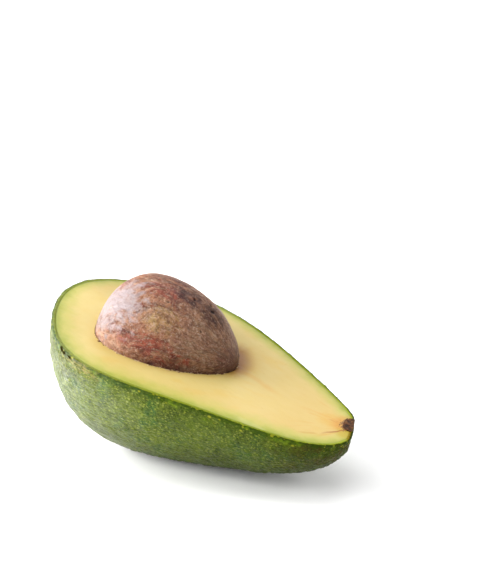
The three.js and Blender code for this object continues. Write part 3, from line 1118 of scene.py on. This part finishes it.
def seed_material():
    """Brown coat: a painted pale highlight at the blunt end, red bands, an olive patch, mottled all
    over.
    """
    look = Look("avocado_seed")
    place = look.attribute("place")
    fibres = look.attribute("fibres")
    base = seed_areas(look, place, fibres)
    base = seed_flakes(look, fibres, base)
    base = seed_streaks(look, place, fibres, base)
    base = seed_gaps(look, place, fibres, base)
    # Painted highlight: a pale patch at the blunt end where the lamps glance off, also a little shinier
    # there
    highlight = spot(look, place, PAINTED_HIGHLIGHT_AREA, 1)
    broken = look.range(look.noise(fibres, 0.9, 4, 0.65), 0.3, 0.6, 0.6, 0.92)
    base = look.mix(look.times(highlight, broken), base, COAT_PAINTED_HIGHLIGHT)
    base = look.mix(look.range(look.attribute("pits"), 0.1, 0.4, 0, 0.95), base, COAT_PITS)

    rough = look.spread(look.noise(fibres, 0.7, 4), 0.34, 0.52)
    shiny = look.math("ADD", look.times(highlight, 0.25), 0.2)
    normal = look.bump(look.noise(fibres, 1.3, 5, 0.75, 0.6), 0.0004)
    return look.finish(Base_Color=base, Roughness=rough, Normal=normal, Specular_IOR_Level=shiny)


def seed_areas(look, place, fibres):
    """The coat's large areas: brown, greyer to the point, an olive patch and a paler blunt edge."""
    along = look.apart(place)[0]
    patches = look.noise(look.scaled(fibres, (0.5, 1, 1)), 0.3, 4, 0.62, 0.4)
    base = look.mix(look.range(patches, 0.42, 0.56), COAT_DARK, COAT_LIGHT)
    base = look.mix(look.range(along, 2, 14, 0, 0.75), base, COAT_GREY)
    return blots(look, place, COAT_BLOTS, base)


def seed_flakes(look, fibres, base):
    """Beige patches and smaller flakes."""
    broad = look.noise(look.moved(fibres, (21, 6, 2)), 0.4, 4, 0.65, 0.4)
    base = look.mix(look.range(broad, 0.5, 0.62, 0, 0.5), base, COAT_PATCHES)
    rounder = look.scaled(fibres, (1.7, 1, 1))
    flakes = look.noise(look.moved(rounder, (8, 2, 5)), 0.8, 4, 0.75, 0.3)
    return look.mix(look.range(flakes, 0.5, 0.6, 0, 0.5), base, COAT_FLAKES)


def seed_gaps(look, place, fibres, base):
    """Dark blotches, fine dark gaps and pale dust all over the coat."""
    rounder = look.scaled(fibres, (1.7, 1, 1))
    blotches = look.noise(look.moved(rounder, (14, 3, 8)), 0.35, 4, 0.7, 0.3)
    base = look.darken(look.range(blotches, 0.5, 0.6, 0, 0.5), base, BLOTCH_SHADE)
    gaps = look.noise(rounder, 0.85, 4, 0.75, 0.3)
    base = look.darken(look.range(gaps, 0.48, 0.58, 0, 0.75), base, GAP_SHADE)
    dust = look.noise(look.moved(place, (9, 2, 6)), 1.5, 3, 0.75)
    return look.mix(look.range(dust, 0.56, 0.66, 0, 0.35), base, COAT_DUST)


def seed_streaks(look, place, fibres, base):
    """Red bands, dark streaks on the far shoulder and low down, a darker point and painted shade along
    the hem where the seed sinks into the flesh.
    """
    base = look.mix(seed_reds(look, place, fibres), base, COAT_RED)
    broad = look.noise(look.moved(look.scaled(fibres, (0.5, 1, 1)), (3, 17, 9)), 0.4, 4, 0.65, 0.4)
    dark = look.range(broad, 0.52, 0.62, 0, 0.4)
    darker = look.times(strongest(look, place, DARK_AREAS), look.range(broad, 0.38, 0.5, 0, 0.95))
    base = look.darken(look.math("MAXIMUM", dark, darker), base, STREAK_SHADE)
    base = look.darken(spot(look, place, SEED_POINT, 0.8), base, POINT_SHADE)
    along = look.apart(place)[0]
    # Painted shade: darker just above the cut face on the point's half, where the seed sinks into the
    # flesh
    above = look.range(look.attribute("above"), 0.2, 2.4, 0.5, 0)
    return look.darken(look.times(above, look.range(along, -8, 6)), base, HEM_PAINTED_SHADE)


def seed_reds(look, place, fibres):
    """Where the coat is red: thinly all over, and in bands low on the near side and over the top."""
    red = look.math("MAXIMUM", strongest(look, place, RED_AREAS), RED_ELSEWHERE)
    streaks = look.noise(look.moved(look.scaled(fibres, (0.6, 1, 1)), (11, 5, 3)), 0.6, 5, 0.75, 0.4)
    return look.times(red, look.range(streaks, 0.4, 0.54))


def scar_material():
    """Corky dark brown with ginger fibres."""
    look = Look("avocado_stem_scar")
    place = look.attribute("place")
    cork = look.noise(place, 0.9, 5, 0.7, 0.8)
    brown = look.mix(look.range(cork, 0.4, 0.6), colour(34, 16, 4), colour(92, 52, 16))
    fibres = look.noise(look.scaled(place, (0.3, 1.4, 1.4)), 1.6, 3, 0.6)
    brown = look.mix(look.range(fibres, 0.58, 0.7, 0, 0.6), brown, colour(150, 106, 60))
    normal = look.bump(cork, 0.0004)
    return look.finish(Base_Color=brown, Roughness=0.82, Normal=normal, Specular_IOR_Level=0.3)


def crumbs_material():
    """Scraps from dark brown to beige, each mottled with brown."""
    look = Look("avocado_seed_crumbs")
    place = look.attribute("place")
    darker = look.range(look.attribute("shade"), 0.3, 0.6)
    brown = look.mix(darker, colour(84, 48, 28), colour(206, 178, 132))
    mottles = look.range(look.noise(place, 2, 3), 0.4, 0.6, 0, 0.4)
    brown = look.mix(mottles, brown, colour(110, 70, 40))
    return look.finish(Base_Color=brown, Roughness=0.6, Specular_IOR_Level=0.4)


# Stage, light and camera

def make_floor():
    look = Look("studio_floor")
    material = look.finish(Base_Color=(0.93, 0.93, 0.93, 1), Roughness=0.7, Specular_IOR_Level=0.2)
    mesh = bpy.data.meshes.new("studio_floor")
    ball = bmesh.new()
    bmesh.ops.create_circle(ball, cap_ends=True, segments=96, radius=FLOOR_RADIUS)
    ball.to_mesh(mesh)
    ball.free()
    mesh.materials.append(material)
    floor = bpy.data.objects.new("studio_floor", mesh)
    bpy.context.scene.collection.objects.link(floor)


def make_world():
    world = bpy.data.worlds.new("studio")
    world.use_nodes = True
    background = world.node_tree.nodes["Background"]
    background.inputs["Color"].default_value = (1.0, 1.0, 1.0, 1)
    background.inputs["Strength"].default_value = WORLD_STRENGTH
    bpy.context.scene.world = world


def softbox(name, place, size, power):
    """A square area light that faces the fruit."""
    light = bpy.data.lights.new(name, "AREA")
    light.shape = "SQUARE"
    light.size = size
    light.energy = power
    lamp = bpy.data.objects.new(name, light)
    lamp.location = place
    lamp.rotation_mode = "QUATERNION"
    lamp.rotation_quaternion = (LIGHT_TARGET - Vector(place)).to_track_quat("-Z", "Y")
    bpy.context.scene.collection.objects.link(lamp)


def camera_axes():
    """The camera's right, up and forward, in the row's frame."""
    right = np.array((math.cos(CAMERA_TURN), math.sin(CAMERA_TURN), 0))
    level = np.array((-math.sin(CAMERA_TURN), math.cos(CAMERA_TURN), 0))
    forward = level * math.cos(CAMERA_ELEVATION) - np.array((0, 0, math.sin(CAMERA_ELEVATION)))
    return right, np.cross(right, forward), forward


def make_camera():
    right, up, forward = camera_axes()
    middle = to_row(np.array([[LENGTH / 2, 0, 0]]))[0]
    place = middle - CAMERA_ASIDE[0] * right - CAMERA_ASIDE[1] * up - CAMERA_DISTANCE * forward
    camera = bpy.data.cameras.new("camera")
    camera.sensor_width = SENSOR
    camera.lens = FOCAL_PIXELS * SENSOR / max(PHOTO_SIZE)
    camera.clip_start = 0.01
    camera.clip_end = 50
    holder = bpy.data.objects.new("camera", camera)
    turn = Matrix(np.stack([right, up, -forward], axis=1).tolist())
    holder.matrix_world = Matrix.Translation(place.tolist()) @ turn.to_4x4()
    bpy.context.scene.collection.objects.link(holder)
    bpy.context.scene.camera = holder


def from_camera(aside, up_by, toward):
    """A place in the row's frame, from steps to the camera's right, straight up and toward it."""
    right, _, _ = camera_axes()
    level = np.array((math.sin(CAMERA_TURN), -math.cos(CAMERA_TURN), 0))
    return tuple((right * aside + level * toward + np.array((0, 0, up_by))).tolist())


# Put together

def dress(piece, slot, *nodes):
    """Puts a piece on the body in the place of its solids. slot is not used."""
    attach(piece, "root")
    if nodes:
        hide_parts(*nodes)


dress(skin_piece(skin_material()), "skin", "skin")
dress(flesh_piece(flesh_material()), "flesh", "flesh")
dress(seed_piece(seed_material()), "seed", "seed")
dress(crumbs_piece(crumbs_material()), "seed")
dress(scar_piece(scar_material()), "stem_scar", "stem_scar")

make_floor()
make_world()
for name, (steps, size, power) in LIGHTS.items():
    softbox(name, from_camera(*steps), size, power)
make_camera()
bpy.context.scene.view_settings.view_transform = "Standard"
